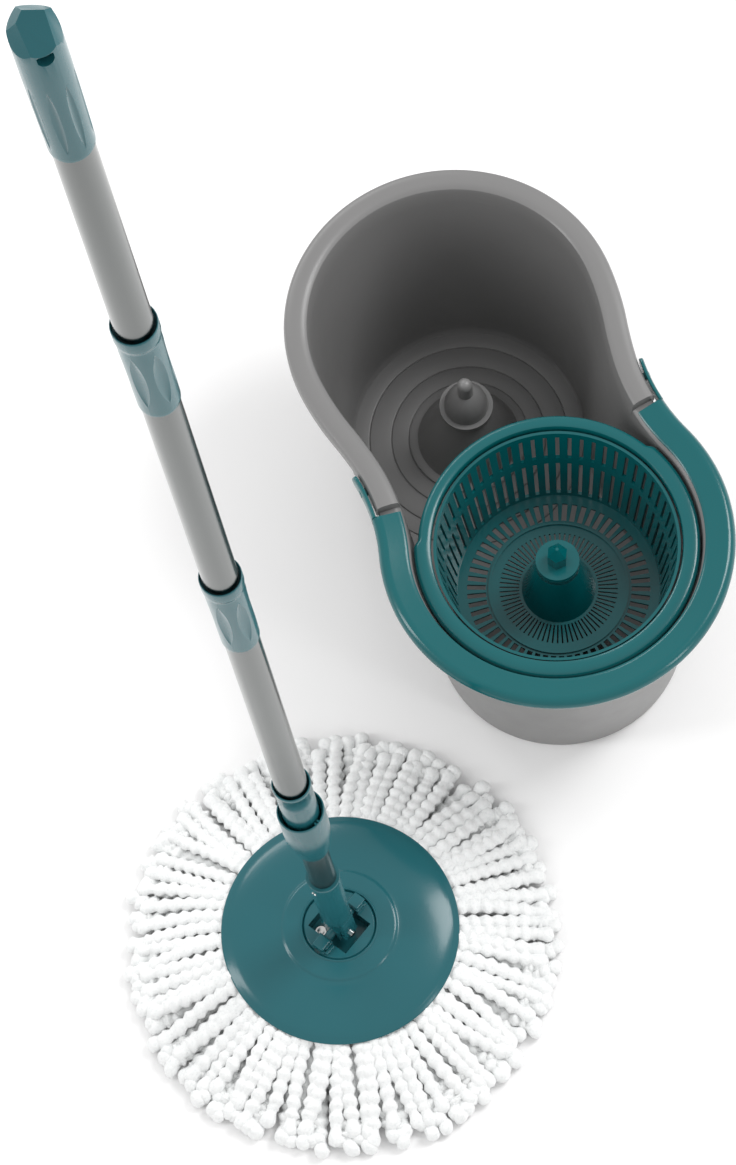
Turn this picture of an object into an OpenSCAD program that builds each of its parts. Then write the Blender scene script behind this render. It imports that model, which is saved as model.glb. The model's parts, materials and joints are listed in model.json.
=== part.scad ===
// Spin mop set: a mop with a press-to-spin handle, and its two-lobed bucket
// with a wringing basket. Origin: centre of the bucket's base, between the lobes.
// +Y points from the basket lobe to the wash lobe, +X to the right, +Z up.

/* [Bucket] */
// Height of the bucket's rolled lip
bucket_h = 177; // [165:1:205]
// Distance between the centres of the two lobes
lobe_gap = 162; // [145:1:190]
// Outer radius of a lobe at the lip
lip_r = 116.5; // [114:0.5:121]
// Width of the lip
lip_w = 17; // [15:0.5:18]
// Distance from a lobe's centre to the centre of the waist curve
waist_reach = 253; // [235:1:320]
// Inner radius of a lobe at the floor
floor_r = 84; // [78:0.5:88]
// How much further back the wash lobe's centre is at the lip than at the floor
lobe_lean = 15.5; // [0:0.5:20]
// Thickness of the moulded walls
wall = 2.5; // [2:0.1:3]
// Where the high lip ends beside the waist, in front of the middle
lip_end = 12; // [8:0.5:20]
// How much lower the lip is under the folded carrying handle
lip_drop = 7.6; // [6:0.2:10]

/* [Carrying handle] */
// Outer radius of the carrying handle where it follows the lip
bail_r = 121; // [120:0.5:126]
// Inner radius of its flat flange
bail_in_r = 100.5; // [99:0.5:106]
// Thickness of its skin
bail_t = 2.5; // [2:0.1:3]
// Height of the skirt
bail_skirt = 9; // [8:0.5:14]
// Pivot's distance behind the middle of the bucket
bail_pivot_y = 6; // [2:0.5:10]
// Radius of the pivot pins
bail_pin_r = 3; // [2:0.1:4]

/* [Basket] */
// Radius of the basket's rim
basket_r = 84; // [78:0.5:86]
// Radius of the basket at its floor
basket_floor_r = 72; // [68:0.5:78]
// Height of the basket's rim above the floor
basket_top = 163; // [155:1:166]
// Height of the underside of the basket's floor
basket_z = 81; // [70:1:92]
// Thickness of the basket
basket_t = 2; // [1.6:0.1:2.5]
// Number of slots around the wall
wall_slots = 60; // [36:2:64]
// Number of wide slots in the floor
floor_slots = 58; // [40:1:66]
// Number of fine slots in the floor
fine_slots = 72; // [48:1:84]
// Free width between the basket's rim and the guard ring
guard_gap = 1.5; // [1:0.1:3]
// Radius of the axle
axle_r = 4; // [3:0.1:5]

/* [Wash post] */
// Radius of the post's base
post_r = 36.5; // [30:0.5:42]
// Height of the cone of the post
post_cone_h = 52; // [38:1:58]
// Radius of the dome on the post
dome_r = 15.6; // [13:0.2:17]
// Radius of the pin on the dome
wash_pin_r = 5.5; // [4.5:0.1:6]

/* [Mop head] */
// Position of the mop's centre on the floor
mop_at = [-232, -232.2];
// Angle of the tilting joint about the upright
mop_turn = 28; // [-90:1:90]
// Radius of the plate
plate_r = 82; // [76:0.5:88]
// Height of the plate's underside at its edge
plate_z = 34.5; // [32:0.5:38]
// Rise of the plate from its edge to the middle
plate_rise = 12; // [10:0.5:14]
// Reach of the strands from the centre
strand_r = 153; // [140:1:170]
// Radius of the round insert in the middle of the plate
hub_r = 25; // [24:0.5:28]
// Height of the tilting joint's centre above the floor
joint_z = 48; // [46:0.5:50]
// Lean of the handle about the trunnions
lean_a = -2.2; // [-12:0.1:12]
// Lean of the handle about the hinge pin
lean_b = -1.8; // [-12:0.1:12]
// Radius of the trunnions
trunnion_r = 3; // [2.5:0.1:3.2]
// Radius of the steel hinge pin
hinge_pin_r = 2.4; // [2:0.1:3]

/* [Handle] */
// Outer radius of the three joined tubes
tube_r = 10.7; // [10:0.1:12]
// Wall of the steel tubes
tube_t = 0.6; // [0.5:0.1:0.8]
// Outer radius of the thin inner tube
inner_r = 9.2; // [8.6:0.1:9.4]
// Length of the socket above the tilting joint
socket_top = 105; // [85:1:115]
// Length of inner tube that shows below the lock ring
inner_show = 61; // [45:1:75]
// Length of the lock ring
lock_ring_h = 74; // [60:1:85]
// Length of the lock sleeve that shows above the ring
lock_sleeve_h = 52; // [40:1:60]
// Length of the lower tube between the lock sleeve and its coupling
lower_len = 261; // [215:1:310]
// Length of the middle tube between the couplings
middle_len = 252; // [180:1:300]
// Length of the upper tube between its coupling and the grip
upper_len = 205; // [150:1:250]
// Length of a coupling
coupling_h = 94; // [75:1:110]
// Radius of a coupling's upper rim
coupling_r = 12.8; // [12.2:0.1:14]
// Length of the grip
grip_h = 127; // [100:1:150]
// Radius of the grip
grip_r = 12.4; // [12:0.1:14]
// Angle of the hanging hole about the handle
grip_turn = -118; // [-180:1:180]
// Travel of the handle on the inner tube
stroke = 150; // [120:1:160]
// Length of the twisted rod that makes one turn
lead = 75; // [60:1:100]

/* [Hidden] */

$fn = 96;
run = 0.05;          // radial clearance of a running fit
slack = 0.4;         // gap between neighbours that move past each other
over = 1;            // how far a cutter passes a face
teal = [0.0, 0.40, 0.41];
mop_teal = [0.16, 0.44, 0.47];
grey = [0.42, 0.42, 0.42];
post_grey = [0.50, 0.50, 0.50];
steel = [0.68, 0.69, 0.68];
nylon = [0.92, 0.92, 0.88];
fibre = [0.96, 0.96, 0.95];

// ---------- the two-lobed outline and what is swept along it ----------
lobe_y = lobe_gap / 2;
waist_x = sqrt(waist_reach * waist_reach - lobe_y * lobe_y);
waist_a = atan2(lobe_y, waist_x);
lobe_steps = 32;
waist_steps = 6;
step_a = 0.4;        // half the angle over which the lip changes height
lean_from = 20;      // where the lean begins, behind the ears

// A station is [centre x, centre y, true on a lobe, angle].
function arc(cx, cy, lobe, a0, a1, n) = [for (i = [0:n]) [cx, cy, lobe, a0 + (a1 - a0) * i / n]];
function reach(st, r) = st[2] ? r : waist_reach - r;
function on_outline(st, r) = [st[0] + reach(st, r) * cos(st[3]), st[1] + reach(st, r) * sin(st[3])];
// Angle on the waist curve at a distance y in front of the middle, at radius r
function waist_angle(y, r) = asin(y / (waist_reach - r));
function inner_points(list) = [for (i = [1:len(list) - 2]) list[i]];

lip_a = waist_angle(lip_end, lip_r);
eight = concat(
    arc(0, lobe_y, true, -waist_a, 180 + waist_a, lobe_steps),
    inner_points(arc(-waist_x, 0, false, waist_a, -lip_a + step_a, waist_steps)),
    [[-waist_x, 0, false, -lip_a + step_a], [-waist_x, 0, false, -lip_a - step_a]],
    inner_points(arc(-waist_x, 0, false, -lip_a - step_a, -waist_a, waist_steps)),
    arc(0, -lobe_y, true, 180 - waist_a, 360 + waist_a, lobe_steps),
    inner_points(arc(waist_x, 0, false, 180 + waist_a, 180 + lip_a + step_a, waist_steps)),
    [[waist_x, 0, false, 180 + lip_a + step_a], [waist_x, 0, false, 180 + lip_a - step_a]],
    inner_points(arc(waist_x, 0, false, 180 + lip_a - step_a, 180 - waist_a, waist_steps)));
function lowered(st) = st[1] < 0 || (!st[2] && st[1] == 0 && sin(st[3]) < -sin(lip_a));

// Skin through one profile [radius, height] per station; ends capped, or the loop
// closed with a cap over the first and over the last profile point.
module skin(rings, closed) {
    n = len(rings);
    m = len(rings[0]);
    last = closed ? n - 1 : n - 2;
    sides = closed ? m - 2 : m - 1;
    walls = [for (i = [0:last], j = [0:sides]) let (k = (i + 1) % n, l = (j + 1) % m)
        each [[i * m + j, k * m + l, k * m + j], [i * m + j, i * m + l, k * m + l]]];
    caps = closed
        ? [[for (i = [0:n - 1]) i * m], [for (i = [n - 1:-1:0]) i * m + m - 1]]
        : [[for (j = [m - 1:-1:0]) j], [for (j = [0:m - 1]) (n - 1) * m + j]];
    polyhedron([for (ring = rings) each ring], concat(walls, caps));
}
// How far a station takes part in the wash lobe's lean: 0 at the ears, 1 at the lobe
function lean_part(st) = let (y = on_outline(st, lip_r)[1], w = (y - lean_from) / (lobe_y - lean_from),
    c = max(0, min(1, w))) c * c * (3 - 2 * c);
function ring_at(st, profile) = [for (p = profile) let (xy = on_outline(st, p[0]))
    [xy[0], xy[1] + lobe_lean * lean_part(st) * p[1] / bucket_h, p[1]]];

// ---------- bucket ----------
bucket_floor = 3;
lip_in_r = lip_r - lip_w;
function wall_r(z) = floor_r + (lip_in_r - floor_r) * z / bucket_h;   // inner face
lip_skirt = 12;
lip_t = wall + 0.9;
low_top = bucket_h - lip_drop;
low_r = lip_r - 1.5;
high_lip = [
    [floor_r + wall, 0],
    [wall_r(bucket_h - lip_t) + wall, bucket_h - lip_t],
    [lip_r - wall, bucket_h - lip_t],
    [lip_r - wall, bucket_h - lip_skirt],
    [lip_r, bucket_h - lip_skirt],
    [lip_r, bucket_h - 4],
    [lip_r - 1, bucket_h - 1.2],
    [lip_r - 3.5, bucket_h],
    [lip_in_r + 3.5, bucket_h],
    [lip_in_r + 1, bucket_h - 1],
    [wall_r(bucket_h - 3), bucket_h - 3],
    [wall_r(bucket_floor), bucket_floor]];
low_lip = [
    [floor_r + wall, 0],
    [wall_r(low_top - wall) + wall, low_top - wall],
    [low_r - wall, low_top - wall],
    [low_r - wall, bucket_h - lip_skirt],
    [low_r, bucket_h - lip_skirt],
    [low_r, low_top - 2],
    [low_r - 0.7, low_top - 0.5],
    [low_r - 2, low_top],
    [lip_in_r + 6, low_top],
    [lip_in_r + 2, low_top - 0.6],
    [wall_r(low_top - 2.5), low_top - 2.5],
    [wall_r(bucket_floor), bucket_floor]];
bail_pivot_z = bucket_h - 9;
ear_x = bail_r + waist_x - waist_reach;              // outside of the ears at the waist
lip_x = lip_r + waist_x - waist_reach;               // outside of the lip at the waist
pin_head_r = bail_pin_r + 2;
pin_head_gap = slack + pow(bail_pivot_y + pin_head_r, 2) / (2 * (waist_reach - bail_r));

module pivot_holes(r) {
    translate([-ear_x - over, bail_pivot_y, bail_pivot_z])
        rotate([0, 90, 0]) cylinder(r = r, h = 2 * (ear_x + over));
}

module bucket_body() {
    color(grey) skin([for (st = eight) ring_at(st, lowered(st) ? low_lip : high_lip)], true);
}

// ---------- wash post ----------
post_step = 3;
flange_r = dome_r + 3.4;
flange_h = 4;
flange_z = bucket_floor + post_step + post_cone_h;
dome_h = 22;
wash_pin_h = 17;

module wash_post() {
    color(post_grey) translate([0, lobe_y, bucket_floor]) rotate_extrude() polygon([
        [0, 0], [post_r + 6, 0], [post_r + 6, post_step - 1], [post_r, post_step],
        [flange_r - 5, post_step + post_cone_h], [6, post_step + post_cone_h],
        [6, post_step + post_cone_h - 14], [0, post_step + post_cone_h - 14]]);
}

module wash_cap() {
    color(post_grey) translate([0, lobe_y, flange_z]) {
        cylinder(r = flange_r, h = flange_h);
        translate([0, 0, -13]) cylinder(r = 6 - run, h = 13);
        translate([0, 0, flange_h]) rotate_extrude() intersection() {
            translate([dome_r - dome_bulge, 0]) circle(r = dome_bulge);
            square([dome_r, dome_h]);
        }
        translate([0, 0, flange_h + dome_h - 4]) cylinder(r = wash_pin_r, h = wash_pin_h - wash_pin_r + 4);
        translate([0, 0, flange_h + dome_h + wash_pin_h - wash_pin_r]) sphere(r = wash_pin_r);
    }
}
// Radius of the arc that closes the dome on the pin at its height
dome_bulge = (pow(dome_h, 2) + pow(dome_r - wash_pin_r + 1, 2)) / (2 * (dome_r - wash_pin_r + 1));

// ---------- basket, its axle and the guard ring ----------
boss_r = 30;
boss_top = basket_z - 8;
washer_t = 1.5;
bush_z = boss_top + washer_t;
hub_top = basket_z + 46;
bush_top = hub_top - 6;
bush_r = 9;
flange_bush_r = 11;
hub_r_low = 26;
hub_r_high = 15;
clip_t = 1;

module axle_boss() {
    color(grey) translate([0, -lobe_y, bucket_floor]) difference() {
        cylinder(r1 = boss_r, r2 = 11, h = boss_top - bucket_floor);
        translate([0, 0, boss_top - bucket_floor - 45]) cylinder(r = axle_r, h = 45 + over);
    }
}

module basket_axle() {
    color(steel) translate([0, -lobe_y, 0]) difference() {
        translate([0, 0, boss_top - 45]) cylinder(r = axle_r, h = bush_top + 3 - boss_top + 45);
        translate([0, 0, bush_top + slack]) difference() {
            cylinder(r = axle_r + over, h = clip_t);
            cylinder(r = axle_r - 1, h = clip_t);
        }
    }
}

module ring(r_out, r_in, z0, z1) {
    translate([0, 0, z0]) difference() {
        cylinder(r = r_out, h = z1 - z0);
        translate([0, 0, -over]) cylinder(r = r_in, h = z1 - z0 + 2 * over);
    }
}

module thrust_washer() {
    color(steel) translate([0, -lobe_y, 0]) ring(9, axle_r, boss_top, bush_z);
}

module axle_clip() {
    color(steel) translate([0, -lobe_y, 0])
        ring(axle_r + 1.6, axle_r - 1, bush_top + slack, bush_top + slack + clip_t);
}

module hub_bush() {
    color(nylon) translate([0, -lobe_y, 0]) difference() {
        union() {
            translate([0, 0, bush_z]) cylinder(r = flange_bush_r, h = 4);
            translate([0, 0, bush_z]) cylinder(r = bush_r, h = bush_top - bush_z, $fn = 6);
        }
        translate([0, 0, bush_z - over]) cylinder(r = axle_r + run, h = bush_top - bush_z + 2 * over);
    }
}

seat_z = bush_z + 4 + slack;
basket_in_r = basket_r - basket_t;
floor_in_r = basket_floor_r - basket_t;
slot_w = 2.8;
wide_slots = [50.5, 63.5];
wide_slot_w = 3.6;
fine_slot_r = [27.5, 41];
fine_slot_w = 1.1;
floor_ridge_r = 48;
upper_row = [basket_top - 31, basket_top - 5];
lower_row = [basket_z + 5, basket_top - 38];

module slots_2d(count, radii, width) {
    for (i = [0:count - 1]) rotate(i * 360 / count)
        translate([radii[0], -width / 2]) square([radii[1] - radii[0], width]);
}

module basket() {
    color(teal) translate([0, -lobe_y, 0]) {
        difference() {
            rotate_extrude() polygon([
                [basket_floor_r - 1, basket_z], [basket_floor_r, basket_z + 1],
                [basket_r, basket_top], [basket_in_r, basket_top],
                [floor_in_r, basket_z + basket_t], [floor_in_r - 3, basket_z + basket_t],
                [floor_in_r - 3, basket_z]]);
            for (row = [upper_row, lower_row]) translate([0, 0, row[0]]) linear_extrude(row[1] - row[0])
                slots_2d(wall_slots, [floor_in_r - over, basket_r + over], slot_w);
        }
        translate([0, 0, basket_z]) linear_extrude(basket_t) difference() {
            circle(r = floor_in_r - 3);
            circle(r = hub_r_low - basket_t);
            slots_2d(floor_slots, wide_slots, wide_slot_w);
            slots_2d(fine_slots, fine_slot_r, fine_slot_w);
        }
        ring(floor_ridge_r + 0.8, floor_ridge_r - 0.8, basket_z + basket_t, basket_z + basket_t + 1.6);
        difference() {
            rotate_extrude() polygon([
                [hub_r_low - basket_t, basket_z], [hub_r_low, basket_z],
                [hub_r_high, hub_top - 2], [hub_r_high, hub_top],
                [0, hub_top], [0, hub_top - basket_t],
                [hub_r_high - basket_t - 1, hub_top - basket_t]]);
            translate([0, 0, hub_top - basket_t - over]) cylinder(r = axle_r, h = basket_t + 2 * over);
        }
        translate([0, 0, seat_z]) difference() {
            cylinder(r = bush_r + 2.5, h = hub_top - seat_z - 1);
            translate([0, 0, -over])
                cylinder(r = bush_r + slack, h = bush_top + 3 - seat_z + over, $fn = 6);
            translate([0, 0, -over]) cylinder(r = axle_r + 3, h = hub_top - seat_z + 2 * over);
        }
    }
}

cap_h = 8;
tip_r = 7.3;
tip_h = 20;

module basket_hub_cap() {
    color(teal) translate([0, -lobe_y, hub_top]) {
        cylinder(r = hub_r_high, h = cap_h);
        translate([0, 0, -basket_t]) cylinder(r = axle_r, h = basket_t);
        translate([0, 0, cap_h]) cylinder(r = tip_r, h = tip_h - tip_r, $fn = 6);
        translate([0, 0, cap_h + tip_h - tip_r]) cylinder(r1 = tip_r, r2 = 1.2, h = tip_r, $fn = 6);
    }
}

guard_top = bucket_h - 10;
guard_in_r = basket_r + guard_gap;
guard_back_r = guard_in_r + 9;
guard_front_r = wall_r(guard_top) - 1.2;
guard_h = 9;
guard_kink = 40;     // how far behind the lobe's centre the wide front part reaches
bracket_w = 10;
bracket_a = [-22, 202, -110, -70];
bracket_r = guard_front_r - 9;
guard_pin_r = 2;

module guard_profile(r) {
    rotate_extrude() polygon([
        [guard_in_r, guard_top - guard_h], [guard_in_r, guard_top - 1.5],
        [guard_in_r + 1.5, guard_top], [r - 3, guard_top], [r - 0.8, guard_top - 1.2],
        [r, guard_top - 4], [r, guard_top - guard_h + 2], [r - 2, guard_top - guard_h + 2],
        [r - 2, guard_top - 3.5], [guard_in_r + 2, guard_top - 2.5],
        [guard_in_r + 2, guard_top - guard_h]]);
}

module bracket_places() {
    for (a = bracket_a) rotate(a) translate([bracket_r, 0, 0]) children();
}

module guard_ring() {
    color(teal) translate([0, -lobe_y, 0]) {
        difference() {
            guard_profile(guard_back_r);
            translate([-guard_front_r, -2 * guard_front_r + guard_kink, 0])
                cube([2 * guard_front_r, 2 * guard_front_r, bucket_h]);
        }
        intersection() {
            guard_profile(guard_front_r);
            translate([-guard_front_r, -2 * guard_front_r + guard_kink, 0])
                cube([2 * guard_front_r, 2 * guard_front_r, bucket_h]);
        }
        bracket_places() translate([0, 0, guard_top - guard_h - 3])
            cylinder(r = guard_pin_r, h = guard_h + 1);
    }
}

module guard_brackets() {
    color(post_grey) translate([0, -lobe_y, 0]) bracket_places() difference() {
        translate([-3.5, -bracket_w / 2, guard_top - guard_h - 16])
            cube([wall_r(guard_top - guard_h) - bracket_r + 4, bracket_w, 15]);
        translate([0, 0, guard_top - guard_h - 5]) cylinder(r = guard_pin_r + run, h = 6);
    }
}

// ---------- carrying handle ----------
bail_top = bucket_h - 1.5;
bail_low = bail_top - bail_skirt;
ear_in_r = lip_r + 1.2;
flange_start = lip_end + 4;
ear_back = 12;
ear_low = bail_pivot_z - 6.5;
band = [
    [bail_r - 0.6, bail_low],
    [bail_r, bail_top - 6],
    [bail_r - 1.5, bail_top - 2.5],
    [bail_r - 5.5, bail_top],
    [bail_in_r + 5, bail_top - 1.5],
    [bail_in_r, bail_top - 2.5],
    [bail_in_r, bail_top - 2.5 - bail_t],
    [bail_in_r + 5, bail_top - 1.5 - bail_t],
    [bail_r - 6.2, bail_top - bail_t],
    [bail_r - 4, bail_top - 4.4],
    [bail_r - bail_t, bail_top - 6.5],
    [bail_r - 0.6 - bail_t, bail_low]];
flange_a = waist_angle(flange_start, lip_r);
bail_route = concat(
    arc(waist_x, 0, false, 180 + flange_a, 180 + waist_a, 6),
    inner_points(arc(0, -lobe_y, true, waist_a, -180 - waist_a, lobe_steps)),
    arc(-waist_x, 0, false, -waist_a, -flange_a, 6));

module bail_handle() {
    color(teal) skin([for (st = bail_route) ring_at(st, band)], false);
}

// The ears carry the band on the pivots: two strips along the waist, outside the lip
module bail_ears() {
    ear_y = bail_pivot_y + ear_back;
    color(teal) for (side = [0, 180]) rotate(side) mirror([0, side / 180, 0]) difference() {
        intersection() {
            translate([waist_x, 0, 0])
                ring(waist_reach - ear_in_r, waist_reach - bail_r, ear_low, bail_top + 0.6);
            translate([0, -bail_r, 0]) cube([waist_x, bail_r + ear_y, 2 * bucket_h]);
        }
        translate([waist_x, 0, 0]) rotate(180 + flange_a)
            cube([waist_reach, waist_reach, 2 * bucket_h]);
        pivot_holes(bail_pin_r + run);
    }
}

module bail_pivots() {
    color(steel) for (side = [-1, 1]) translate([side * (lip_x - 6), bail_pivot_y, bail_pivot_z])
        rotate([0, side * 90, 0]) {
            cylinder(r = bail_pin_r, h = ear_x - lip_x + 6.5 + pin_head_gap);
            translate([0, 0, ear_x - lip_x + 6 + pin_head_gap]) cylinder(r = pin_head_r, h = 1.2);
        }
}

// ---------- mop head ----------
module on_mop() {
    translate([mop_at[0], mop_at[1], 0]) rotate([0, 0, mop_turn]) children();
}
module on_cross() {
    on_mop() translate([0, 0, joint_z]) rotate([lean_a, 0, 0]) children();
}
module on_handle() {
    on_cross() rotate([0, lean_b, 0]) children();
}

plate_t = 2.5;
hub_top_z = plate_z + plate_rise;
ring_r_in = 40;
ring_z = plate_z - 10;
sleeve_h = 14;
skirt_z = 12;

module mop_strands() {
    color(fibre) on_mop() rotate_extrude() polygon([
        [ring_r_in - 6, 0], [strand_r - 3, 0], [strand_r, 5], [strand_r - 4, 13],
        [strand_r - 22, 22], [strand_r - 45, 29], [plate_r + 3, plate_z - 0.6],
        [plate_r - 6, plate_z - 0.6], [plate_r - 6, ring_z - 0.3], [ring_r_in - 6, ring_z - 0.3]]);
}

module strand_ring() {
    color(nylon) on_mop() ring(plate_r - 7, ring_r_in, ring_z, ring_z + 6);
}

module mop_plate() {
    color(mop_teal) on_mop() {
        rotate_extrude() polygon([
            [hub_r, hub_top_z - sleeve_h], [hub_r, hub_top_z - 0.8], [hub_r + 0.8, hub_top_z],
            [39, hub_top_z - 1], [40, hub_top_z - 2.2], [58, hub_top_z - 4],
            [plate_r - 8, hub_top_z - 7], [plate_r - 3, plate_z + 3], [plate_r, plate_z + 1.2],
            [plate_r, plate_z], [plate_r - 3, plate_z], [plate_r - 9, hub_top_z - 7 - plate_t],
            [58, hub_top_z - 4 - plate_t], [40, hub_top_z - 2.2 - plate_t],
            [hub_r + plate_t, hub_top_z - 1 - plate_t], [hub_r + plate_t, hub_top_z - sleeve_h]]);
        for (i = [0:7]) rotate(i * 45) translate([ring_r_in + 6, -0.9, ring_z + 6])
            cube([plate_r - 18 - ring_r_in, 1.8, hub_top_z - 8.5 - plate_t - ring_z]);
    }
}

pit_w = 33;          // across the hinge pin
pit_l = 27;          // along the trunnions, between the lugs
lug_w = 11;
lug_t = 7;
pit_floor = 33.5;
socket_r = 8.6;
cross_w = 13;
cross_l = 15;

module trunnion_cut(r, length) {
    translate([-length / 2, 0, joint_z]) rotate([0, 90, 0]) cylinder(r = r, h = length);
}

module mop_hub() {
    color(mop_teal) on_mop() difference() {
        union() {
            translate([0, 0, skirt_z]) cylinder(r = socket_r + 3, h = pit_floor - skirt_z);
            translate([0, 0, pit_floor - 4.5]) cylinder(r = hub_r, h = hub_top_z - 1.2 - pit_floor + 4.5);
            translate([0, 0, hub_top_z - 1.2]) cylinder(r1 = hub_r, r2 = hub_r - 1.2, h = 1.2);
            for (side = [-1, 1]) translate([side * (pit_l / 2 + lug_t / 2) - lug_t / 2, -lug_w / 2, pit_floor])
                cube([lug_t, lug_w, joint_z - pit_floor + trunnion_r + 1]);
        }
        translate([-pit_l / 2, -pit_w / 2, pit_floor]) cube([pit_l, pit_w, 40]);
        trunnion_cut(trunnion_r + run, 2 * hub_r);
        translate([0, 0, skirt_z - over])
            cylinder(r = socket_r, h = pit_floor - 4.5 - skirt_z + over, $fn = 6);
    }
}

module hub_screws() {
    color(steel) on_mop() for (a = [45:90:315]) rotate(a) translate([hub_r - 6, 0, 0]) {
        translate([0, 0, pit_floor - 6.5]) cylinder(r = 3, h = 2);
    }
}

module trunnion_caps() {
    color(steel) on_mop() for (side = [-1, 1])
        translate([side * (pit_l / 2 + lug_t + 0.3) - (side < 0 ? 1.2 : 0), 0, joint_z])
            rotate([0, 90, 0]) ring(trunnion_r + 0.9, trunnion_r - 1, 0, 1.2);
}

module joint_cross() {
    color(mop_teal) on_cross() difference() {
        union() {
            translate([-cross_l / 2, -cross_w / 2, -7]) cube([cross_l, cross_w, 14]);
            translate([-(pit_l / 2 + lug_t - 0.1), 0, 0]) rotate([0, 90, 0])
                cylinder(r = trunnion_r, h = 2 * (pit_l / 2 + lug_t - 0.1));
        }
        translate([0, cross_w, 0]) rotate([90, 0, 0]) cylinder(r = hinge_pin_r + run, h = 2 * cross_w);
    }
}

fork_t = 4;
fork_r = 6.4;
fork_gap = cross_w / 2 + slack;
fork_out = fork_gap + fork_t;
neck_z = 22;
tube_foot = 45;
socket_low_r = 10.3;
socket_high_r = 11.4;

module hinge_pin() {
    color(steel) on_handle() translate([0, fork_out + 1.6, 0]) rotate([90, 0, 0])
        cylinder(r = hinge_pin_r, h = 2 * fork_out + 3.2);
}

module knuckle_socket() {
    color(mop_teal) on_handle() difference() {
        union() {
            translate([0, 0, neck_z]) cylinder(r1 = socket_low_r, r2 = socket_high_r, h = socket_top - neck_z);
            translate([0, 0, neck_z - 5])
                cylinder(r1 = socket_low_r - 3, r2 = socket_low_r, h = 5);
            for (side = [-1, 1]) {
                translate([0, side * fork_gap + (side < 0 ? 0 : fork_t), 0]) rotate([90, 0, 0])
                    cylinder(r = fork_r, h = fork_t, $fn = 6);
                translate([-fork_r + 0.9, side * (fork_gap + fork_t / 2) - fork_t / 2, 0])
                    cube([2 * (fork_r - 0.9), fork_t, neck_z + 4]);
            }
        }
        translate([0, fork_out + over, 0]) rotate([90, 0, 0])
            cylinder(r = hinge_pin_r, h = 2 * (fork_out + over));
        translate([-10, -fork_gap, -10]) cube([20, 2 * fork_gap, 10 + neck_z - 8]);
        translate([0, 0, tube_foot]) cylinder(r = inner_r, h = socket_top);
        rivet_line(rivet_r);
    }
}

rivet_r = 1.6;
rivet_s = socket_top - 12;
module rivet_line(r) {
    translate([-socket_high_r - 2, 0, rivet_s]) rotate([0, 90, 0])
        cylinder(r = r, h = 2 * socket_high_r + 4);
}

module socket_rivet() {
    color(steel) on_handle() translate([-socket_high_r - 0.4, 0, rivet_s]) rotate([0, 90, 0])
        cylinder(r = rivet_r, h = 2 * socket_high_r + 0.8);
}

// ---------- press drive ----------
ring_s = socket_top + inner_show;            // bottom of the lock ring
sleeve_s = ring_s + lock_ring_h;             // top of the lock ring
lower_s = sleeve_s + lock_sleeve_h;          // lower tube starts to show
coupling_a = lower_s + lower_len;
coupling_b = coupling_a + coupling_h + middle_len;
grip_s = coupling_b + coupling_h + upper_len;
joint_a = coupling_a + coupling_h / 2;
joint_b = coupling_b + coupling_h / 2;
tube_in = tube_r - tube_t;
nut_h = 14;
inner_top = joint_a - 85;
rod_w = 7;
rod_t = 1.8;
rod_top = inner_top + 40;
rod_foot = inner_top - stroke - nut_h - 8;
bush_len = 22;

module inner_tube() {
    color(steel) on_handle() difference() {
        ring(inner_r, inner_r - tube_t, tube_foot, inner_top);
        rivet_line(rivet_r);
    }
}

module clutch_sleeve() {
    color(nylon) on_handle() translate([0, 0, inner_top - nut_h]) difference() {
        union() {
            cylinder(r = inner_r - tube_t, h = nut_h);
            translate([0, 0, nut_h]) cylinder(r = inner_r, h = 2);
        }
        translate([0, 0, -over]) cylinder(r = 6.5, h = nut_h + 2 + 2 * over, $fn = 8);
    }
}

module drive_nut() {
    color([0.8, 0.65, 0.3]) on_handle() translate([0, 0, inner_top - 3]) difference() {
        cylinder(r = 6.5, h = 3, $fn = 8);
        rotate((inner_top - 1.5) * 360 / lead)
            translate([-rod_w / 2 - 0.25, -rod_t / 2 - 0.75, -over])
            cube([rod_w + 0.5, rod_t + 1.5, 3 + 2 * over]);
    }
}

module guide_bush() {
    color(nylon) on_handle()
        ring(tube_in - run, inner_r + run, inner_top - bush_len - 2, inner_top - 2);
}

module spiral_rod() {
    color(steel) on_handle() translate([0, 0, rod_foot]) rotate(rod_foot * 360 / lead)
        linear_extrude(rod_top - rod_foot, twist = -(rod_top - rod_foot) * 360 / lead, slices = 72, $fn = 4)
            square([rod_w, rod_t], center = true);
}

module rod_plug() {
    color(nylon) on_handle() difference() {
        translate([0, 0, rod_top - 14]) cylinder(r = tube_in, h = 18);
        translate([0, 0, rod_top - 14 - over]) cylinder(r = rod_w / 2 + 0.15, h = 14 + over);
    }
}

module lower_bush() {
    color(nylon) on_handle() ring(tube_in, inner_r + run, sleeve_s + 2, sleeve_s + 2 + bush_len);
}

lock_in_r = 13.4;
lock_out_r = 15.6;
lock_low_r = 10.6;
sleeve_r = 12.7;
collet_h = 16;

module lock_collet() {
    color(nylon) on_handle() difference() {
        ring(inner_r + 1.5, inner_r + 0.1, ring_s + 22, ring_s + 22 + collet_h);
        for (i = [0:1]) rotate(i * 90) translate([-15, -0.6, ring_s + 21]) cube([30, 1.2, collet_h - 3]);
    }
}

module lock_sleeve() {
    color(mop_teal) on_handle() difference() {
        union() {
            translate([0, 0, ring_s + 30]) cylinder(r = sleeve_r - 0.6, h = lower_s - ring_s - 30);
            translate([0, 0, lower_s - 3]) cylinder(r = sleeve_r, h = 3);
        }
        translate([0, 0, sleeve_s + 2]) cylinder(r = tube_r, h = lower_s);
        translate([0, 0, ring_s]) cylinder(r = inner_r + 1.5, h = lower_s - ring_s);
    }
}

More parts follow.
